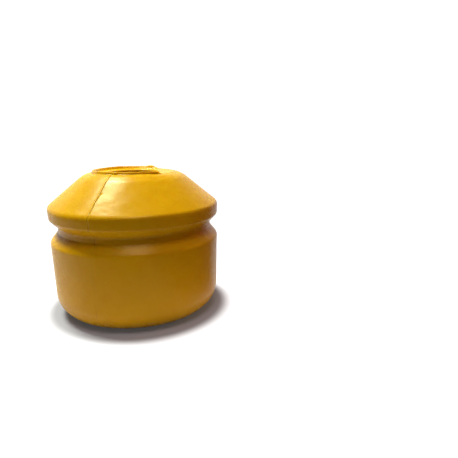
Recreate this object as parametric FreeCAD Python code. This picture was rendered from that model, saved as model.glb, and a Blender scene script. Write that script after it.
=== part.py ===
import FreeCAD, Part
import math
import os

os.makedirs("parts", exist_ok=True)

# Suspension bump stop: one moulded elastomer block that slides over a damper
# rod.  All lengths in mm.  The axis of the rod is +Z, the origin is the centre
# of the flat seat the block stands on, and the small end points up.
#
# The outside, from the seat up: rounded seat edge, nearly upright base, short
# cone into a narrow neck groove, flange with an upright edge, long cone, a
# small flat end face with a thin upstanding lip of flash, and the mouth of the
# bore inside that lip.  The lip is not a full ring: it runs out over a quarter
# turn at one side.  Two fine parting lines, half a turn apart, run up the
# outside from the seat edge to the lip.

# ---- overall ----------------------------------------------------------------
flange_r = 33.0          # flange radius at its upper corner, before rounding
lip_top_z = 56.2         # height of the top of the lip

# ---- base -------------------------------------------------------------------
seat_edge_r = 32.2       # base radius where the wall would meet the seat
seat_round = 9.2         # rounding of the seat edge
base_top_r = 32.8        # base radius at the top of the upright wall
base_top_z = 29.8        # height where the wall turns in towards the neck
base_top_round = 1.9     # rounding of that turn

# ---- neck groove between base and flange ------------------------------------
neck_r = 29.85           # radius at the bottom of the groove
neck_low_z = 33.25       # where the base cone meets the neck
neck_high_z = 35.6       # where the flange underside meets the neck
neck_low_round = 0.5
neck_high_round = 1.6

# ---- flange and cone --------------------------------------------------------
flange_low_r = 32.8      # the flange edge leans out a little, from here
flange_low_z = 38.65     # lower corner of the flange edge
flange_low_round = 1.0
flange_high_z = 42.9     # upper corner of the flange edge, the cone starts here
flange_high_round = 2.4
shoulder_r = 18.82       # where the cone would meet the end face, which falls
shoulder_z = 54.74       # away by 7 degrees outside the lip
shoulder_round = 9.4     # soft shoulder between cone and end face

# ---- end face and the lip on it ---------------------------------------------
face_crest_r = 15.9      # the end face stops falling away here
face_crest_z = 55.10
dish_mouth_z = 55.05     # the end face where it reaches the bore
lip_foot_out_r = 15.98   # the lip has drafted walls: foot and top, outer side
lip_top_out_r = 15.68
lip_top_in_r = 15.20     # the same, inner side
lip_foot_in_r = 14.55
lip_foot_z = 55.11
lip_root_round = 0.32    # fillets at the foot of the lip
lip_crest_round = 0.21   # the crest is nearly a full round
lip_start = 58.5         # azimuths, degrees from +X, where the lip starts and
lip_end = 327.0          # ends, counted anticlockwise from above
lip_run_out = 15.0       # slope of the run-out at both ends, degrees

# ---- bore for the damper rod ------------------------------------------------
rod_bore_r = 10.0        # guide neck that runs on the rod
mouth_round = 0.6        # rounding of the bore mouth
guide_end_z = 49.3       # lower end of the guide neck
guide_end_round = 0.4
relief_r = 13.0          # wider relief bore below the guide neck
relief_start_z = 46.3    # the relief has its full radius from here down
relief_round = 1.2
seat_mouth_round = 1.0   # rounding where the relief bore leaves the seat

# ---- parting lines ----------------------------------------------------------
seam_angles = (-105.4, 74.6)   # azimuths, degrees from +X
seam_width = 0.35
seam_height = 0.12
seam_low_z = 2.0         # the lines stop this far above the seat
skin_depth = 1.5         # how far each line's strip reaches into the body


def rounded_path(corners, closed):
    """Edges through (r, z, radius) corners, each corner rounded by its radius."""
    n = len(corners)
    starts, ends, mids = [], [], []
    for i in range(n):
        r, z, rad = corners[i]
        p1 = FreeCAD.Vector(r, 0, z)
        if (not closed and i in (0, n - 1)) or rad <= 0.0:
            starts.append(p1)
            ends.append(p1)
            mids.append(None)
            continue
        p0 = FreeCAD.Vector(corners[i - 1][0], 0, corners[i - 1][1])
        p2 = FreeCAD.Vector(corners[(i + 1) % n][0], 0, corners[(i + 1) % n][1])
        a = (p0 - p1).normalize()
        b = (p2 - p1).normalize()
        half = math.acos(max(-1.0, min(1.0, a.dot(b)))) / 2.0
        run = rad / math.tan(half)
        centre = p1 + (a + b).normalize() * (rad / math.sin(half))
        starts.append(p1 + a * run)
        ends.append(p1 + b * run)
        mids.append(centre + (p1 - centre).normalize() * rad)
    edges = []
    last = n if closed else n - 1
    for i in range(n):
        if mids[i] is not None:
            edges.append(Part.Arc(starts[i], mids[i], ends[i]).toShape())
        if i < last:
            q = starts[(i + 1) % n]
            if (q - ends[i]).Length > 1e-6:
                edges.append(Part.makeLine(ends[i], q))
    return edges


# outside of the section, from the seat up to the foot of the lip ring
outside = [
    (seat_edge_r, 0.0, seat_round),
    (base_top_r, base_top_z, base_top_round),
    (neck_r, neck_low_z, neck_low_round),
    (neck_r, neck_high_z, neck_high_round),
    (flange_low_r, flange_low_z, flange_low_round),
    (flange_r, flange_high_z, flange_high_round),
    (shoulder_r, shoulder_z, shoulder_round),
]

# end face, guide neck and relief bore, back to the seat
inside = [
    (face_crest_r, face_crest_z, 0.0),
    (rod_bore_r, dish_mouth_z, mouth_round),
    (rod_bore_r, guide_end_z, guide_end_round),
    (relief_r, relief_start_z, relief_round),
    (relief_r, 0.0, seat_mouth_round),
]

axis_point = FreeCAD.Vector(0, 0, 0)
axis_dir = FreeCAD.Vector(0, 0, 1)

section = Part.Face(Part.Wire(rounded_path(outside + inside, True)))
body = section.revolve(axis_point, axis_dir, 360)

# The lip, rooted a little below the end face.
lip_section = [
    (lip_foot_out_r + 0.48, lip_foot_z - 0.30, 0.0),
    (lip_foot_out_r, lip_foot_z, lip_root_round),
    (lip_top_out_r, lip_top_z, lip_crest_round),
    (lip_top_in_r, lip_top_z, lip_crest_round),
    (lip_foot_in_r, lip_foot_z, lip_root_round),
    (lip_foot_in_r - 0.48, lip_foot_z - 0.26, 0.0),
    (lip_foot_in_r - 0.30, lip_foot_z - 0.90, 0.0),
    (lip_foot_out_r + 0.30, lip_foot_z - 0.90, 0.0),
]
lip_face = Part.Face(Part.Wire(rounded_path(lip_section, True)))
lip_face.rotate(axis_point, axis_dir, lip_start)
lip = lip_face.revolve(axis_point, axis_dir, lip_end - lip_start)

# Both ends of the lip slope down to the end face.
lip_mid_r = (lip_foot_out_r + lip_foot_in_r) / 2.0
for angle, heading in ((lip_start, lip_start + 90.0), (lip_end, lip_end - 90.0)):
    above = Part.makeBox(11.0, 6.0, 5.0, FreeCAD.Vector(-3.0, -3.0, 0.0))
    above.rotate(axis_point, FreeCAD.Vector(0, 1, 0), -lip_run_out)
    above.rotate(axis_point, axis_dir, heading)
    above.translate(FreeCAD.Vector(lip_mid_r * math.cos(math.radians(angle)),
                                   lip_mid_r * math.sin(math.radians(angle)),
                                   lip_foot_z))
    lip = lip.cut(above).Solids[0]


def offset_corners(corners, dist):
    """Corners of the path whose straight runs are moved outward by dist."""
    runs = []
    for i in range(len(corners) - 1):
        x0, z0 = corners[i][0], corners[i][1]
        x1, z1 = corners[i + 1][0], corners[i + 1][1]
        length = math.hypot(x1 - x0, z1 - z0)
        nx, nz = (z1 - z0) / length * dist, (x0 - x1) / length * dist
        runs.append((x0 + nx, z0 + nz, x1 + nx, z1 + nz))
    moved = [(runs[0][0], runs[0][1], 0.0)]
    for i in range(1, len(runs)):
        ax, az, bx, bz = runs[i - 1]
        cx, cz, dx, dz = runs[i]
        den = (bx - ax) * (dz - cz) - (bz - az) * (dx - cx)
        t = ((cx - ax) * (dz - cz) - (cz - az) * (dx - cx)) / den
        grow = dist if den > 0.0 else -dist
        moved.append((ax + t * (bx - ax), az + t * (bz - az),
                      max(corners[i][2] + grow, 0.0)))
    moved.append((runs[-1][2], runs[-1][3], 0.0))
    return moved


# Fine raised parting lines: a thin strip in the plane of the mould joint that
# follows the outside of the section and stands seam_height proud of it.
skin = [(20.0, 0.0, 0.0)] + outside + [(face_crest_r, face_crest_z, 0.0),
                                       (lip_top_in_r, face_crest_z - 0.006, 0.0)]
crest = offset_corners(skin, seam_height)
root = offset_corners(skin, -skin_depth)
root.reverse()
strip_edges = rounded_path(crest, False)
strip_edges.append(Part.makeLine(FreeCAD.Vector(crest[-1][0], 0, crest[-1][1]),
                                 FreeCAD.Vector(root[0][0], 0, root[0][1])))
strip_edges += rounded_path(root, False)
strip_edges.append(Part.makeLine(FreeCAD.Vector(root[-1][0], 0, root[-1][1]),
                                 FreeCAD.Vector(crest[0][0], 0, crest[0][1])))
strip_face = Part.Face(Part.Wire(strip_edges))
strip = strip_face.extrude(FreeCAD.Vector(0, seam_width, 0))
strip.translate(FreeCAD.Vector(0, -seam_width / 2.0, 0))
above_seat = Part.makeBox(2 * flange_r, 2.0, lip_top_z,
                          FreeCAD.Vector(0, -1.0, seam_low_z))
strip = strip.common(above_seat)

for angle in seam_angles:
    line = strip.copy()
    line.rotate(axis_point, axis_dir, angle)
    body = body.fuse(line)

body = body.fuse(lip)
body = body.removeSplitter()

solid = body.Solids[0] if body.Solids else body
solid.exportStep("parts/bump_stop.step")

box = solid.optimalBoundingBox(True)
print("solids", len(body.Solids), "valid", solid.isValid(),
      "volume mm3", round(solid.Volume, 1))
print("box", round(box.XLength, 3), round(box.YLength, 3), round(box.ZLength, 3),
      "z", round(box.ZMin, 3), round(box.ZMax, 3))
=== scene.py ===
import math

import bpy
import numpy as np
from mathutils import Matrix


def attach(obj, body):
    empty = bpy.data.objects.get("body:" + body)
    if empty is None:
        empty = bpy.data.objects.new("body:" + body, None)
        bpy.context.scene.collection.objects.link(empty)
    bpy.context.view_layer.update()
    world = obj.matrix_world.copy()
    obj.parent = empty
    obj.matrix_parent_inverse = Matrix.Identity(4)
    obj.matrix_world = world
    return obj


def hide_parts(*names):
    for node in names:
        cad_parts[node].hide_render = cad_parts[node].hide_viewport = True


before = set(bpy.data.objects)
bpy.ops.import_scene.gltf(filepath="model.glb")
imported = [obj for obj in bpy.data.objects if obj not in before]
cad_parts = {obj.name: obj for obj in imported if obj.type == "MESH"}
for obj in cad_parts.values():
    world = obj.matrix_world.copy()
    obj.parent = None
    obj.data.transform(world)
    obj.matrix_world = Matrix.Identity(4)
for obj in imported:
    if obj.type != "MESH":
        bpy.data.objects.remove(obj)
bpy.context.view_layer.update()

MM = 0.001
scene = bpy.context.scene

# ---------------------------------------------------------------- camera ----
# Fitted to the standing part: 60 degree view, 13.5 degrees down.
IMAGE = 458.0
FOCAL_PX = 411.48
cam_data = bpy.data.cameras.new("camera")
cam_data.sensor_fit = "HORIZONTAL"
cam_data.sensor_width = 36.0
cam_data.lens = FOCAL_PX / IMAGE * 36.0
cam_data.clip_start = 0.01
cam_data.clip_end = 50.0
cam = bpy.data.objects.new("camera", cam_data)
scene.collection.objects.link(cam)
right = (0.99999878, 0.0, -0.00156069)
up = (0.00151751, 0.23360145, 0.97233125)
back = (0.00036458, -0.97233243, 0.23360117)
where = (0.03786185, -0.16420706, 0.07104767)
cam.matrix_world = Matrix((
    (right[0], up[0], back[0], where[0]),
    (right[1], up[1], back[1], where[1]),
    (right[2], up[2], back[2], where[2]),
    (0.0, 0.0, 0.0, 1.0)))
scene.camera = cam

# --------------------------------------------------------------- section ----
# Corners of the section in mm: (r, z, rounding, largest step between points).
# The step belongs to the straight run that starts at the corner.
LIP_FOOT = 55.10
LIP_TOP = 56.2
OUTSIDE = [
    (32.2, 0.0, 9.2, 0.62),
    (32.8, 29.8, 1.9, 0.50),
    (29.85, 33.25, 0.5, 0.40),
    (29.85, 35.6, 1.6, 0.45),
    (32.8, 38.65, 1.0, 0.50),
    (33.0, 42.9, 2.4, 0.42),
    (18.82, 54.74, 9.4, 0.40),
]
INSIDE = [
    (15.98, LIP_FOOT, 0.34, 0.14),
    (15.68, LIP_TOP, 0.22, 0.12),
    (15.20, LIP_TOP, 0.22, 0.14),
    (14.42, 55.13, 0.45, 0.40),
    (10.0, 55.05, 0.6, 0.5),
    (10.0, 49.3, 0.4, 0.7),
    (13.0, 46.3, 1.2, 1.6),
    (13.0, 0.0, 1.0, 1.1),
]


def rounded_loop(corners):
    """Points (r, z) round the closed section, with every corner rounded."""
    n = len(corners)
    arcs = []
    for i in range(n):
        r, z, rad, _ = corners[i]
        p0 = np.array(corners[i - 1][:2])
        p1 = np.array((r, z))
        p2 = np.array(corners[(i + 1) % n][:2])
        a = (p0 - p1) / np.linalg.norm(p0 - p1)
        b = (p2 - p1) / np.linalg.norm(p2 - p1)
        half = math.acos(float(np.clip(a @ b, -1, 1))) / 2.0
        run = rad / math.tan(half)
        mid = (a + b) / np.linalg.norm(a + b)
        c = p1 + mid * rad / math.sin(half)
        s, e = p1 + a * run, p1 + b * run
        t0 = math.atan2(s[1] - c[1], s[0] - c[0])
        t1 = math.atan2(e[1] - c[1], e[0] - c[0])
        turn = (t1 - t0 + math.pi) % (2 * math.pi) - math.pi
        steps = max(3, int(math.ceil(abs(turn) * rad / 0.42)),
                    int(math.ceil(abs(turn) / math.radians(16))))
        arcs.append([c + rad * np.array((math.cos(t0 + turn * k / steps),
                                         math.sin(t0 + turn * k / steps)))
                     for k in range(steps + 1)])
    pts = []
    for i in range(n):
        pts += arcs[i]
        s, e = arcs[i][-1], arcs[(i + 1) % n][0]
        m = max(1, int(math.ceil(np.linalg.norm(e - s) / corners[i][3])))
        pts += [s + (e - s) * k / m for k in range(1, m)]
    return np.array(pts)


loop = rounded_loop(OUTSIDE + INSIDE)
P = len(loop)
ahead = np.roll(loop, -1, axis=0) - loop
behind = loop - np.roll(loop, 1, axis=0)
ahead /= np.linalg.norm(ahead, axis=1)[:, None]
behind /= np.linalg.norm(behind, axis=1)[:, None]
tangent = ahead + behind
tangent /= np.linalg.norm(tangent, axis=1)[:, None]
normal = np.c_[tangent[:, 1], -tangent[:, 0]]          # out of the material

# --------------------------------------------------------------- azimuth ----
SEAMS = (math.radians(-105.4), math.radians(74.6))


def azimuths():
    """Even columns, with finer ones in a band over each parting line."""
    half_band = math.radians(5.0)
    fine = math.radians(0.30)
    coarse = math.radians(1.62)
    out = []
    for a, b in ((SEAMS[0], SEAMS[1]), (SEAMS[1], SEAMS[0] + 2 * math.pi)):
        k = int(round(2 * half_band / fine))
        out += list(np.linspace(a - half_band, a + half_band, k + 1))
        lo, hi = a + half_band, b - half_band
        m = int(round((hi - lo) / coarse))
        out += list(np.linspace(lo, hi, m + 1)[1:-1])
    return np.array(out)


az = azimuths()
A = len(az)

R0 = np.repeat(loop[:, 0][:, None], A, axis=1)
Z0 = np.repeat(loop[:, 1][:, None], A, axis=1)
TH = np.repeat(az[None, :], P, axis=0)
NR = np.repeat(normal[:, 0][:, None], A, axis=1)
NZ = np.repeat(normal[:, 1][:, None], A, axis=1)
X0 = R0 * np.cos(TH)
Y0 = R0 * np.sin(TH)

# parts of the section
arc_len = np.r_[0.0, np.cumsum(np.linalg.norm(np.diff(loop, axis=0), axis=1))]
i_crest = int(np.argmax((loop[:, 1] > LIP_TOP - 1e-6)))
is_outer = np.zeros(P, bool)
is_outer[:i_crest] = True
is_lip = (loop[:, 1] > LIP_FOOT + 0.03) & (loop[:, 0] > 14.1) & (loop[:, 0] < 16.9)


def smooth(x, lo, hi):
    t = np.clip((x - lo) / (hi - lo), 0.0, 1.0)
    return t * t * (3 - 2 * t)


def waves(seed, count, lo, hi):
    """A smooth, seeded sum of plane waves over the body, about +-1."""
    rng = np.random.RandomState(seed)
    total = np.zeros_like(X0)
    for _ in range(count):
        d = rng.normal(size=3)
        d /= np.linalg.norm(d)
        k = 2 * math.pi / math.exp(rng.uniform(math.log(lo), math.log(hi)))
        total += np.sin(k * (d[0] * X0 + d[1] * Y0 + d[2] * Z0) + rng.uniform(0, 2 * math.pi))
    return total / math.sqrt(count / 2.0) / 1.6


def ring_waves(seed, count, lo, hi):
    """A smooth, seeded function of azimuth alone, about +-1."""
    rng = np.random.RandomState(seed)
    total = np.zeros_like(az)
    for _ in range(count):
        total += np.sin(rng.randint(lo, hi + 1) * az + rng.uniform(0, 2 * math.pi))
    return total / math.sqrt(count / 2.0) / 1.6


# ----------------------------------------------------- moulded unevenness ----
offset = np.zeros_like(X0)                             # along the normal, mm
skin = np.where(is_outer, 1.0, 0.5)[:, None]
offset += skin * 0.055 * waves(3, 26, 14.0, 34.0)
offset += skin * 0.022 * waves(5, 34, 5.0, 11.0)
offset += skin * 0.011 * waves(8, 40, 2.2, 4.5)
# the seat stays flat, so the part stands
seat = 1.0 - smooth(Z0, 0.0, 1.6)
offset *= 1.0 - seat

# ----------------------------------------------------------- parting line ----
# Where the line wanders: height z (mm) and shift along the surface (mm).
WANDER = np.array([
    (0.0, 0.00), (4.0, 0.02), (9.0, -0.12), (13.0, -0.05), (18.0, 0.08),
    (24.0, -0.04), (29.0, 0.05), (33.0, -0.04), (35.2, 0.02), (36.3, 0.06),
    (38.6, -0.22), (40.0, -0.02), (41.2, -0.06), (42.0, -0.30), (42.8, -0.12),
    (43.5, 0.08), (44.3, -0.12), (45.6, 0.04), (46.8, -0.08), (48.2, 0.03),
    (49.0, 0.10), (49.45, 0.30), (49.75, 0.16), (50.6, 0.14), (51.6, 0.24),
    (52.8, 0.12), (54.0, 0.22), (55.1, 0.16), (56.3, 0.10)])
WANDER_B = np.array([
    (0.0, 0.05), (6.0, -0.06), (12.0, 0.10), (20.0, 0.00), (27.0, 0.08),
    (31.0, 0.20), (33.5, -0.18), (36.0, -0.10), (38.8, 0.30), (40.5, 0.22),
    (43.0, -0.10), (44.8, 0.10), (46.5, -0.06), (48.6, 0.14), (50.2, -0.04),
    (52.0, 0.10), (54.0, -0.06), (56.3, 0.0)])


def side_of(seam, table):
    """Distance across the parting line in mm, and a window round it."""
    d = (TH - seam + math.pi) % (2 * math.pi) - math.pi
    u = d * R0 - np.interp(Z0, table[:, 0], table[:, 1])
    near = np.abs(d) < math.radians(60)
    return u, near, d


fine_rng = np.random.RandomState(21)
seam_dirt_and_seat_shade = np.zeros_like(X0)                          # how much seam dirt sits in the line, and how much painted shade lies on the edge round the seat
outer_mask = is_outer[:, None] & (Z0 > 0.6)
for index, (seam, table) in enumerate(zip(SEAMS, (WANDER, WANDER_B))):
    u, near, d = side_of(seam, table)
    u = u + 0.05 * np.interp(Z0, np.linspace(0, 57, 120), fine_rng.uniform(-1, 1, 120))
    # strength along the line: strong on cone, faint on the base
    strength = np.interp(Z0, [0.0, 2.0, 5.0, 9.5, 11.5, 15.0, 19.0, 22.5, 26.0, 30.0, 34.0, 38.0, 43.0, 46.0, 54.5, 55.6],
                         [0.0, 0.30, 0.40, 0.34, 0.10, 0.07, 0.20, 0.15, 0.03, 0.05, 0.45, 0.50, 0.60, 1.0, 0.85, 0.4])
    groove = -0.24 * np.exp(-(u / 0.16) ** 2)
    seam_dirt_and_seat_shade = np.maximum(seam_dirt_and_seat_shade, np.where(outer_mask & near, strength * np.exp(-(u / 0.22) ** 2), 0.0))
    bead = 0.07 * np.exp(-((u + 0.42) / 0.24) ** 2)
    step = 0.055 * (smooth(u, -0.18, 0.18) - 0.5) * np.exp(-(u / 2.6) ** 2) * 2.0
    step += 0.10 * np.exp(-np.abs(u) / 1.7)                # the joint stands a little proud
    offset += np.where(outer_mask & near, strength * (groove + bead + step), 0.0)

# painted shade: the skin is darkened where the rounded edge runs under to the seat, standing in for contact shade
seam_dirt_and_seat_shade = np.maximum(seam_dirt_and_seat_shade, np.where(is_outer[:, None], 0.75 * (1.0 - smooth(Z0, 0.3, 5.6)), 0.0))

# small nicks along the front line
for z_n, u_n, depth, wide, tall in ((49.6, 0.34, 0.22, 0.42, 0.20), (47.9, 0.05, 0.10, 0.24, 0.5),
                                    (44.2, -0.05, 0.12, 0.25, 0.45), (52.6, 0.10, 0.07, 0.22, 0.6)):
    u, near, d = side_of(SEAMS[0], WANDER)
    offset -= np.where(outer_mask & near,
                       depth * np.exp(-((u - u_n) / wide) ** 2 - ((Z0 - z_n) / tall) ** 2), 0.0)

# --------------------------------------------------------------- lip ring ----
# A thin upstanding flash: full at the left and back, low at the right.
turn_r = (az - math.radians(12.5) + math.pi) % (2 * math.pi) - math.pi
height = 0.05 + 0.85 * smooth(np.abs(turn_r), math.radians(45.5), math.radians(60.5))
near_side = (az - math.radians(-92.0) + math.pi) % (2 * math.pi) - math.pi
near_side = 1.0 - smooth(np.abs(near_side), math.radians(28.0), math.radians(66.0))
height -= 0.12 * near_side
height += (0.06 * ring_waves(31, 7, 2, 6) + 0.035 * ring_waves(33, 9, 9, 22)) * smooth(np.abs(turn_r), 0.7, 1.1)
nib = (az - math.radians(75.0) + math.pi) % (2 * math.pi) - math.pi
height += 0.22 * np.exp(-(nib / math.radians(6.0)) ** 4)
blob = (az - SEAMS[0] - math.radians(3.0) + math.pi) % (2 * math.pi) - math.pi
shift = 0.10 * ring_waves(35, 6, 2, 5) + 0.04 * ring_waves(37, 8, 8, 20)
lip_h = np.clip(height, 0.03, 1.3)

RR = R0 + NR * offset
ZZ = Z0 + NZ * offset
lip_rows = is_lip[:, None]
ZZ = np.where(lip_rows, (ZZ - LIP_FOOT - 0.03) * lip_h[None, :] + LIP_FOOT + 0.03, ZZ)
near_lip = np.exp(-((R0 - 15.4) / 0.9) ** 2) * smooth(Z0, 54.4, 55.0)
RR = RR + near_lip * shift[None, :]
# the end face and the ring stand a little higher on the near side
ZZ = ZZ + 0.42 * near_side[None, :] * smooth(-R0, -19.5, -16.4) * smooth(R0, 11.5, 14.0) * smooth(Z0, 53.0, 54.6)
# a blob of flash at the foot of the ring, beside the front parting line
RR = RR + np.where(lip_rows & (NR > 0.0), 0.34 * np.exp(-(blob / math.radians(2.6)) ** 2)[None, :], 0.0)

# ----------------------------------------------------------- bore details ----
mouth_nick = (az - math.radians(172.0) + math.pi) % (2 * math.pi) - math.pi
nick = np.exp(-(mouth_nick / math.radians(2.8)) ** 2)[None, :] * np.exp(-((Z0 - 54.9) / 0.8) ** 2)
RR = RR + np.where((R0 < 11.2) & (Z0 > 52.0), 0.35 * nick, 0.0)

# ------------------------------------------------------------------- mesh ----
verts = np.stack((RR * np.cos(TH), RR * np.sin(TH), ZZ), axis=-1).reshape(-1, 3) * MM
pi_, ai_ = np.meshgrid(np.arange(P), np.arange(A), indexing="ij")
pn, an = (pi_ + 1) % P, (ai_ + 1) % A
quads = np.stack((pi_ * A + ai_, pi_ * A + an, pn * A + an, pn * A + ai_), axis=-1).reshape(-1, 4)

mesh = bpy.data.meshes.new("bump_stop_moulding")
mesh.from_pydata(verts.tolist(), [], quads.tolist())
mesh.polygons.foreach_set("use_smooth", [True] * len(mesh.polygons))
mesh.attributes.new("seam_dirt_and_seat_shade", "FLOAT", "POINT").data.foreach_set("value", seam_dirt_and_seat_shade.reshape(-1).astype(np.float32))
mesh.update()
piece = bpy.data.objects.new("bump_stop_moulding", mesh)
scene.collection.objects.link(piece)

import bmesh
bm = bmesh.new()
bm.from_mesh(mesh)
bmesh.ops.recalc_face_normals(bm, faces=bm.faces)
bm.to_mesh(mesh)
bm.free()

# --------------------------------------------------------------- material ----
mat = bpy.data.materials.new("moulded_polyurethane")
mat.use_nodes = True
nt = mat.node_tree
for n in list(nt.nodes):
    nt.nodes.remove(n)


def node(kind, **values):
    n = nt.nodes.new(kind)
    for k, v in values.items():
        setattr(n, k, v)
    return n


out = node("ShaderNodeOutputMaterial")
bsdf = node("ShaderNodeBsdfPrincipled")
nt.links.new(bsdf.outputs["BSDF"], out.inputs["Surface"])
coord = node("ShaderNodeTexCoord")

# slow shifts of tone through the moulding
tone = node("ShaderNodeTexNoise")
tone.inputs["Scale"].default_value = 55.0
tone.inputs["Detail"].default_value = 3.0
tone.inputs["Roughness"].default_value = 0.55
nt.links.new(coord.outputs["Object"], tone.inputs["Vector"])
ramp = node("ShaderNodeValToRGB")
ramp.color_ramp.elements[0].position = 0.30
ramp.color_ramp.elements[0].color = (0.535, 0.250, 0.0018, 1.0)
ramp.color_ramp.elements[1].position = 0.72
ramp.color_ramp.elements[1].color = (0.595, 0.283, 0.0028, 1.0)
nt.links.new(tone.outputs["Fac"], ramp.inputs["Fac"])
# seam dirt darkens the parting lines; the same mix paints contact shade on the edge round the seat
line = node("ShaderNodeAttribute", attribute_type="GEOMETRY", attribute_name="seam_dirt_and_seat_shade")
seam_dirt_and_seat_shade_amount = node("ShaderNodeMath", operation="MULTIPLY")
seam_dirt_and_seat_shade_amount.inputs[1].default_value = 0.52
nt.links.new(line.outputs["Fac"], seam_dirt_and_seat_shade_amount.inputs[0])
skin_colour = node("ShaderNodeMix", data_type="RGBA")
nt.links.new(seam_dirt_and_seat_shade_amount.outputs["Value"], skin_colour.inputs[0])
nt.links.new(ramp.outputs["Color"], skin_colour.inputs[6])
skin_colour.inputs[7].default_value = (0.13, 0.078, 0.002, 1.0)
nt.links.new(skin_colour.outputs[2], bsdf.inputs["Base Color"])

# the satin skin: patches a little duller or shinier
patch = node("ShaderNodeTexNoise")
patch.inputs["Scale"].default_value = 260.0
patch.inputs["Detail"].default_value = 4.0
patch.inputs["Roughness"].default_value = 0.6
nt.links.new(coord.outputs["Object"], patch.inputs["Vector"])
rough = node("ShaderNodeMapRange")
rough.inputs["From Min"].default_value = 0.3
rough.inputs["From Max"].default_value = 0.7
rough.inputs["To Min"].default_value = 0.23
rough.inputs["To Max"].default_value = 0.33
nt.links.new(patch.outputs["Fac"], rough.inputs["Value"])
nt.links.new(rough.outputs["Result"], bsdf.inputs["Roughness"])

# fine moulded skin texture
grain = node("ShaderNodeTexNoise")
grain.inputs["Scale"].default_value = 900.0
grain.inputs["Detail"].default_value = 5.0
grain.inputs["Roughness"].default_value = 0.6
nt.links.new(coord.outputs["Object"], grain.inputs["Vector"])
bump = node("ShaderNodeBump")
bump.inputs["Strength"].default_value = 0.07
bump.inputs["Distance"].default_value = 0.0003
nt.links.new(grain.outputs["Fac"], bump.inputs["Height"])
nt.links.new(bump.outputs["Normal"], bsdf.inputs["Normal"])

bsdf.inputs["IOR"].default_value = 1.18
# the sheen fades on skin seen edge-on, as on a powdery moulded surface
edge = node("ShaderNodeLayerWeight")
edge.inputs["Blend"].default_value = 0.5
sheen = node("ShaderNodeMapRange")
sheen.inputs["From Min"].default_value = 0.42
sheen.inputs["From Max"].default_value = 0.92
sheen.inputs["To Min"].default_value = 0.92
sheen.inputs["To Max"].default_value = 0.12
nt.links.new(edge.outputs["Facing"], sheen.inputs["Value"])
nt.links.new(sheen.outputs["Result"], bsdf.inputs["Specular IOR Level"])
bsdf.inputs["Specular Tint"].default_value = (1.0, 0.80, 0.40, 1.0)
# light soaks through the thin lip more than through the block
height = node("ShaderNodeSeparateXYZ")
nt.links.new(coord.outputs["Object"], height.inputs["Vector"])
soak = node("ShaderNodeMapRange", interpolation_type="SMOOTHSTEP")
soak.inputs["From Min"].default_value = 0.0547
soak.inputs["From Max"].default_value = 0.0554
soak.inputs["To Min"].default_value = 0.0011
soak.inputs["To Max"].default_value = 0.0016
nt.links.new(height.outputs["Z"], soak.inputs["Value"])
nt.links.new(soak.outputs["Result"], bsdf.inputs["Subsurface Scale"])
soft = node("ShaderNodeMapRange", interpolation_type="SMOOTHSTEP")
soft.inputs["From Min"].default_value = 0.0547
soft.inputs["From Max"].default_value = 0.0554
soft.inputs["To Min"].default_value = 0.50
soft.inputs["To Max"].default_value = 0.75
nt.links.new(height.outputs["Z"], soft.inputs["Value"])
nt.links.new(soft.outputs["Result"], bsdf.inputs["Subsurface Weight"])
reach = node("ShaderNodeMapRange", data_type="FLOAT_VECTOR", interpolation_type="SMOOTHSTEP")
reach.inputs[7].default_value = (0.0547, 0.0547, 0.0547)
reach.inputs[8].default_value = (0.0554, 0.0554, 0.0554)
reach.inputs[9].default_value = (1.0, 0.60, 0.07)
reach.inputs[10].default_value = (0.80, 0.86, 0.10)
lifted = node("ShaderNodeCombineXYZ")
for axis in "XYZ":
    nt.links.new(height.outputs["Z"], lifted.inputs[axis])
nt.links.new(lifted.outputs["Vector"], reach.inputs[6])
nt.links.new(reach.outputs["Vector"], bsdf.inputs["Subsurface Radius"])

mesh.materials.append(mat)

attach(piece, "root")
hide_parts("bump_stop")

# ------------------------------------------------------------------ stage ----
# A white sheet that glows like a light table, a white surround behind and to the left, and softboxes above. Round the
# part the glow is dimmed, a painted contact shadow ring, and inside it the sheet is paler. Nothing bright stands in
# front, so the groove stays dark.
floor_mesh = bpy.data.meshes.new("floor")
X_LEFT, X_RIGHT, Y_FRONT, Y_BACK = -0.20, 0.050, -0.092, 0.17
floor_mesh.from_pydata([(X_LEFT, Y_FRONT, 0), (X_RIGHT, Y_FRONT, 0), (X_RIGHT, Y_BACK, 0), (X_LEFT, Y_BACK, 0)],
                       [], [(0, 1, 2, 3)])
floor = bpy.data.objects.new("floor", floor_mesh)
scene.collection.objects.link(floor)
fmat = bpy.data.materials.new("pale_floor")
fmat.use_nodes = True
fb = fmat.node_tree.nodes["Principled BSDF"]
fb.inputs["Base Color"].default_value = (0.11, 0.11, 0.11, 1.0)
fb.inputs["Roughness"].default_value = 0.9
fb.inputs["Specular IOR Level"].default_value = 0.0
ft = fmat.node_tree
fb.inputs["Emission Color"].default_value = (1.0, 1.0, 1.0, 1.0)
f_coord = ft.nodes.new("ShaderNodeTexCoord")
f_far = ft.nodes.new("ShaderNodeVectorMath")
f_far.operation = "LENGTH"
ft.links.new(f_coord.outputs["Object"], f_far.inputs[0])
# painted shadow: the glow is dimmed in a ring round the part; beyond the ring the glow lifts the real cast shadow
f_glow_and_shadow_ring = ft.nodes.new("ShaderNodeMapRange")
f_glow_and_shadow_ring.interpolation_type = "SMOOTHSTEP"
f_glow_and_shadow_ring.inputs["From Min"].default_value = 0.0332
f_glow_and_shadow_ring.inputs["From Max"].default_value = 0.0398
f_glow_and_shadow_ring.inputs["To Min"].default_value = 0.05
f_glow_and_shadow_ring.inputs["To Max"].default_value = 0.98
ft.links.new(f_far.outputs["Value"], f_glow_and_shadow_ring.inputs["Value"])
ft.links.new(f_glow_and_shadow_ring.outputs["Result"], fb.inputs["Emission Strength"])
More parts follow.
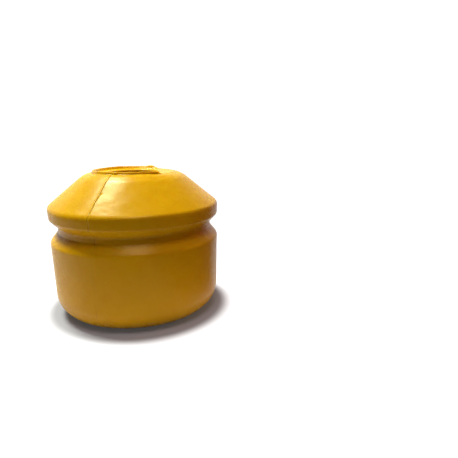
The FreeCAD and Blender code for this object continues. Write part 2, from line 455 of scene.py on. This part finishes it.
# painted light: the sheet is paler inside the shadow ring, so where the key reaches it the ring is lifted
f_shadow_lift_mask = ft.nodes.new("ShaderNodeMapRange")
f_shadow_lift_mask.interpolation_type = "SMOOTHSTEP"
f_shadow_lift_mask.inputs["From Min"].default_value = 0.040
f_shadow_lift_mask.inputs["From Max"].default_value = 0.052
f_shadow_lift_mask.inputs["To Min"].default_value = 0.0
f_shadow_lift_mask.inputs["To Max"].default_value = 1.0
f_shadow_lift_colour = ft.nodes.new("ShaderNodeMix")
f_shadow_lift_colour.data_type = "RGBA"
f_shadow_lift_colour.inputs[6].default_value = (0.27, 0.235, 0.262, 1.0)
f_shadow_lift_colour.inputs[7].default_value = (0.118, 0.103, 0.113, 1.0)
ft.links.new(f_far.outputs["Value"], f_shadow_lift_mask.inputs["Value"])
ft.links.new(f_shadow_lift_mask.outputs["Result"], f_shadow_lift_colour.inputs[0])
ft.links.new(f_shadow_lift_colour.outputs[2], fb.inputs["Base Color"])
floor_mesh.materials.append(fmat)

world = bpy.data.worlds.new("studio")
world.use_nodes = True
wt = world.node_tree
bg = wt.nodes["Background"]
bg.inputs["Color"].default_value = (1.0, 1.0, 1.0, 1.0)


def wnode(kind, **values):
    n = wt.nodes.new(kind)
    for k, v in values.items():
        setattr(n, k, v)
    return n


wdir = wnode("ShaderNodeTexCoord")
side = wnode("ShaderNodeVectorMath", operation="DOT_PRODUCT")
side.inputs[1].default_value = (0.05, 0.9987, 0.0)
wt.links.new(wdir.outputs["Generated"], side.inputs[0])
behind_ramp = wnode("ShaderNodeMapRange", interpolation_type="SMOOTHSTEP")
behind_ramp.inputs["From Min"].default_value = 0.12
behind_ramp.inputs["From Max"].default_value = 0.50
behind_ramp.inputs["To Min"].default_value = 0.04
behind_ramp.inputs["To Max"].default_value = 1.08
wt.links.new(side.outputs["Value"], behind_ramp.inputs["Value"])
split = wnode("ShaderNodeSeparateXYZ")
wt.links.new(wdir.outputs["Generated"], split.inputs["Vector"])
low_ramp = wnode("ShaderNodeMapRange", interpolation_type="SMOOTHSTEP")
low_ramp.inputs["From Min"].default_value = 0.36
low_ramp.inputs["From Max"].default_value = 0.70
low_ramp.inputs["To Min"].default_value = 1.0
low_ramp.inputs["To Max"].default_value = 0.15
wt.links.new(split.outputs["Z"], low_ramp.inputs["Value"])
# the surround ends at the right, so the right flank mirrors nothing bright
right_side = wnode("ShaderNodeVectorMath", operation="DOT_PRODUCT")
right_side.inputs[1].default_value = (-0.799, 0.602, 0.0)
wt.links.new(wdir.outputs["Generated"], right_side.inputs[0])
right_ramp = wnode("ShaderNodeMapRange", interpolation_type="SMOOTHSTEP")
right_ramp.inputs["From Min"].default_value = -0.04
right_ramp.inputs["From Max"].default_value = 0.015
right_ramp.inputs["To Min"].default_value = 0.06
right_ramp.inputs["To Max"].default_value = 1.0
wt.links.new(right_side.outputs["Value"], right_ramp.inputs["Value"])
flank = wnode("ShaderNodeMath", operation="MULTIPLY")
wt.links.new(behind_ramp.outputs["Result"], flank.inputs[0])
wt.links.new(right_ramp.outputs["Result"], flank.inputs[1])
both = wnode("ShaderNodeMath", operation="MULTIPLY")
wt.links.new(flank.outputs["Value"], both.inputs[0])
wt.links.new(low_ramp.outputs["Result"], both.inputs[1])
wt.links.new(both.outputs["Value"], bg.inputs["Strength"])
scene.world = world


def area(name, place, aim, w, h, power, colour=(1.0, 1.0, 1.0)):
    data = bpy.data.lights.new(name, "AREA")
    data.shape = "RECTANGLE"
    data.size, data.size_y = w, h
    data.energy = power
    data.color = colour
    lamp = bpy.data.objects.new(name, data)
    scene.collection.objects.link(lamp)
    p = np.array(place, float)
    z = p - np.array(aim, float)
    z /= np.linalg.norm(z)
    helper = np.array((0.0, 1.0, 0.0)) if abs(z[2]) > 0.95 else np.array((0.0, 0.0, 1.0))
    x = np.cross(helper, z)
    x /= np.linalg.norm(x)
    y = np.cross(z, x)
    lamp.matrix_world = Matrix((
        (x[0], y[0], z[0], p[0]),
        (x[1], y[1], z[1], p[1]),
        (x[2], y[2], z[2], p[2]),
        (0, 0, 0, 1)))
    return lamp


def softbox(name, elevation, azimuth, distance, size, power, colour=(1.0, 1.0, 1.0)):
    """An area light on a dome round the part, aimed at the part."""
    e, a = math.radians(elevation), math.radians(azimuth)
    place = (distance * math.cos(e) * math.cos(a), distance * math.cos(e) * math.sin(a), 0.03 + distance * math.sin(e))
    return area(name, place, (0.0, 0.0, 0.03), size, size, power, colour)


softbox("key_above_left", 64.5, 152, 0.7, 0.22, 10.9, (0.83, 1.0, 0.86))
softbox("top_front", 64, -80, 0.7, 0.28, 2.0)
softbox("warm_right", 25, 8, 0.6, 0.25, 0.76, (1.0, 0.50, 0.02))

scene.view_settings.view_transform = "Standard"
scene.view_settings.look = "None"
scene.view_settings.exposure = 0.0
scene.view_settings.gamma = 1.0
